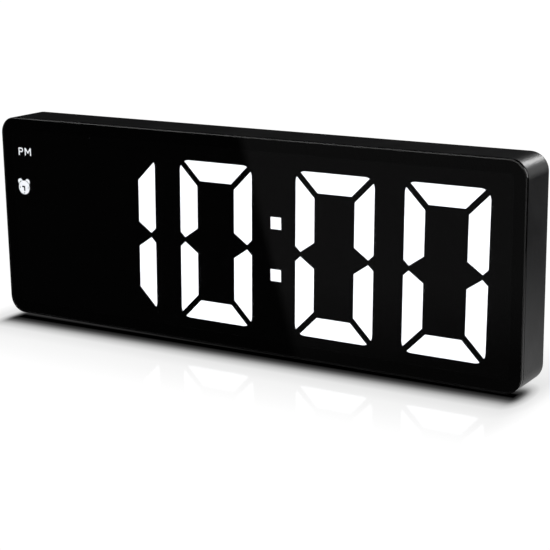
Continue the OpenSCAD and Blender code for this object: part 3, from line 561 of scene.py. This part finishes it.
def glowing_guide(name, strength):
    """Milky plastic with light behind it."""
    material, tree, shader = blank(name)
    grain = use(tree, GRAIN, Scale=900.0)
    between(tree, grain.outputs["Shade"], (0.82, 0.83, 0.86), (0.9, 0.91, 0.93), shader.inputs["Base Color"])
    shader.inputs["Roughness"].default_value = 0.5
    shader.inputs["Emission Color"].default_value = (0.96, 0.98, 1.0, 1)
    shader.inputs["Emission Strength"].default_value = strength
    return material


DIGIT_GLOW = 7.0
SIGN_GLOW = 4.8

# The materials of the frame's slots. Colours run from dark to light, and depth is the grain's, in mm.
PLASTICS = {
    "black_tape": dict(dark=(0.006,) * 3, light=(0.009,) * 3, rough=0.8),
    "housing_plastic": dict(dark=(0.0042, 0.0042, 0.0045), light=(0.0062, 0.0062, 0.0066),
                            rough=0.34, scale=2800.0, depth=0.04, specular=0.35, rub=0.35, dust=0.02),
    "cover_plastic": dict(dark=(0.009, 0.009, 0.0095), light=(0.014, 0.014, 0.015),
                          rough=0.55, scale=2600.0, depth=0.05, rub=0.5, dust=0.05),
    "door_plastic": dict(dark=(0.008, 0.008, 0.0085), light=(0.012, 0.012, 0.013),
                         rough=0.45, scale=2600.0, depth=0.04, rub=0.5, dust=0.05),
    "button_plastic": dict(dark=(0.018, 0.018, 0.019), light=(0.026, 0.026, 0.027),
                           rough=0.3, scale=5000.0, depth=0.01, rub=0.5, dust=0.03),
    "foot_rubber": dict(dark=(0.010,) * 3, light=(0.018,) * 3, rough=0.75, scale=1500.0, depth=0.06),
    "frame_plastic": dict(dark=(0.001,) * 3, light=(0.002,) * 3, rough=0.8, specular=0.1),
    "dark_guide": dict(dark=(0.001,) * 3, light=(0.002,) * 3, rough=0.8, specular=0.1),
    "label_film": dict(dark=(0.31, 0.315, 0.325), light=(0.33, 0.335, 0.345),
                       rough=0.4, scale=5000.0, depth=0.004),
    "board_laminate": dict(dark=(0.015, 0.09, 0.045), light=(0.02, 0.12, 0.06), rough=0.35),
    "switch_plastic": dict(dark=(0.02, 0.018, 0.015), light=(0.03, 0.027, 0.023), rough=0.5),
    "plunger_plastic": dict(dark=(0.6, 0.6, 0.58), light=(0.68, 0.68, 0.66), rough=0.35),
    "holder_plastic": dict(dark=(0.01,) * 3, light=(0.016,) * 3, rough=0.5),
    "led_phosphor": dict(dark=(0.75, 0.66, 0.22), light=(0.85, 0.78, 0.32), rough=0.4),
    "black_felt": dict(dark=(0.008,) * 3, light=(0.03,) * 3, rough=0.95, scale=6000.0, depth=0.15),
    "chip_resin": dict(dark=(0.012,) * 3, light=(0.02,) * 3, rough=0.55),
    "ceramic_tan": dict(dark=(0.36, 0.25, 0.13), light=(0.42, 0.31, 0.17), rough=0.5),
    "thermistor_bead": dict(dark=(0.4, 0.08, 0.03), light=(0.5, 0.12, 0.05), rough=0.2),
}
METALS = {
    "black_steel": dict(dark=(0.03, 0.03, 0.032), light=(0.07, 0.07, 0.075), rough=0.4),
    "bright_steel": dict(dark=(0.5, 0.5, 0.52), light=(0.62, 0.62, 0.64), rough=0.28),
    "cell_steel": dict(dark=(0.52, 0.53, 0.55), light=(0.66, 0.67, 0.69), rough=0.25),
    "contact_nickel": dict(dark=(0.6, 0.54, 0.36), light=(0.72, 0.66, 0.46), rough=0.3),
    "can_aluminium": dict(dark=(0.6, 0.61, 0.63), light=(0.72, 0.73, 0.75), rough=0.3),
}

FINISHES = {name: grained(name, **facts) for name, facts in PLASTICS.items()}
FINISHES.update({name: metal(name, **facts) for name, facts in METALS.items()})
FINISHES["smoked_acrylic"] = smoked_acrylic()
FINISHES["lit_guide"] = glowing_guide("lit_guide", DIGIT_GLOW)


def finish_frame_nodes():
    """Gives each frame node the material of its slot, and the two small signs a dimmer one."""
    signs = glowing_guide("lit_sign", SIGN_GLOW)
    for row in frame["record"]["subparts"]:
        node = frame["nodes"][row["node"]]
        node.data.materials.clear()
        dimmed = row["node"] in ("pm_sign", "alarm_sign")
        node.data.materials.append(signs if dimmed else FINISHES[row["material_slot"]])


finish_frame_nodes()

# ---- printed marks on the rear, drawn as they are read from behind ----

# Thickness of the print, how far the signs are below the buttons, how far the pointer and the ring are
# from the door's edge, and how far the door's own line is from its centre.
PRINT_T = 0.02 * MM
MARK_DROP = 5.0 * MM
RING_GAP = 1.6 * MM
DOOR_MARK_OUT = 8.5 * MM

# The outlines below are drawn in units of the mark size, and so is the width of a line.
MARK_SIZE = 1.0 * MM
LINE = 0.22
ARC_STEP = math.radians(6)


def arc_points(radius, start, end, centre=(0.0, 0.0)):
    """Points along an arc, a few degrees apart."""
    steps = max(2, round(abs(end - start) / ARC_STEP))
    turns = [start + (end - start) * i / steps for i in range(steps + 1)]
    return [(centre[0] + radius * math.cos(a), centre[1] + radius * math.sin(a)) for a in turns]


def strip(radius, start, end, centre=(0.0, 0.0)):
    """The outline of a bent line of even width."""
    outer = arc_points(radius + LINE / 2, start, end, centre)
    inner = arc_points(radius - LINE / 2, end, start, centre)
    return outer + inner


def bar(start, end):
    """The outline of a straight line of even width."""
    along = Vector(end) - Vector(start)
    side = Vector((-along.y, along.x)).normalized() * LINE / 2
    return [tuple(Vector(p) + way * side) for p, way in ((start, -1), (end, -1), (end, 1), (start, 1))]


def ring(radius):
    """A ring in two halves, so that each is a plain outline."""
    return [strip(radius, 0, math.pi), strip(radius, math.pi, 2 * math.pi)]


def disc(radius, centre):
    """A round outline."""
    return arc_points(radius, 0, 2 * math.pi, centre)[:-1]


def dial_mark():
    return ring(1.1) + [bar((0, -0.1), (0, 0.75)), bar((0.1, 0), (0.55, 0))]


def up_mark():
    return [[(-1.0, -0.75), (1.0, -0.75), (0, 0.95)]]


def down_mark():
    return [[(-1.0, 0.75), (0, -0.95), (1.0, 0.75)]]


def bell_mark():
    dome = arc_points(0.72, 0, math.pi, (0, 0.3))
    return [[(1.05, -0.6)] + dome + [(-1.05, -0.6)], disc(0.25, (0, -0.95))]


def speaker_mark():
    horn = [(-1.0, -0.35), (-0.5, -0.35), (0.1, -0.85), (0.1, 0.85), (-0.5, 0.35), (-1.0, 0.35)]
    wave = strip(0.75, -math.pi / 4, math.pi / 4, (0.1, 0))
    return [horn, wave]


def pointer_mark():
    return [[(-0.8, 0.6), (0, -0.7), (0.8, 0.6)]]


def print_marks(name, body, marks, surface_y):
    """Prisms of ink: each mark is (outlines, x, z), and its outlines are read from behind."""
    bm = bmesh.new()
    for outlines, x, z in marks:
        for outline in outlines:
            low = [bm.verts.new((x - u * MARK_SIZE, surface_y, z + v * MARK_SIZE)) for u, v in outline]
            high = [bm.verts.new(vert.co + Vector((0, PRINT_T, 0))) for vert in low]
            bm.faces.new(low)
            bm.faces.new(high[::-1])
            for i in range(len(low)):
                j = (i + 1) % len(low)
                bm.faces.new((low[i], high[i], high[j], low[j]))
    bmesh.ops.recalc_face_normals(bm, faces=bm.faces)
    mesh = bpy.data.meshes.new(name)
    bm.to_mesh(mesh)
    bm.free()
    piece = bpy.data.objects.new(name, mesh)
    bpy.context.scene.collection.objects.link(piece)
    mesh.materials.append(FINISHES["label_film"])
    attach(piece, body)


def mark_the_rear():
    """A sign under each control, and a pointer and a ring for where the battery door turns to."""
    joints = {joint["name"]: joint for joint in frame["record"]["behaviour"]["joints"]}
    cover_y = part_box("rear_cover")[1].y
    rows = (("set_button", dial_mark), ("up_button", up_mark), ("down_button", down_mark),
            ("alarm_button", bell_mark), ("sound_knob", speaker_mark))
    row_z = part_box("set_button")[0].z - MARK_DROP
    marks = []
    for node, draw in rows:
        low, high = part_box(node)
        marks.append((draw(), (low.x + high.x) / 2, row_z))
    low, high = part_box("battery_door")
    centre = (low + high) / 2
    reach = (high.z - low.z) / 2 + RING_GAP
    turned = math.radians(joints["door_turn"]["range_deg"][1])
    marks.append((pointer_mark(), centre.x, centre.z + reach))
    marks.append((ring(0.55), centre.x + reach * math.sin(turned), centre.z + reach * math.cos(turned)))
    print_marks("rear_marks", "case", marks, cover_y)
    line = [bar((0, -0.9), (0, 0.9))]
    print_marks("door_mark", "door", [(line, centre.x, centre.z + DOOR_MARK_OUT)], high.y)


mark_the_rear()
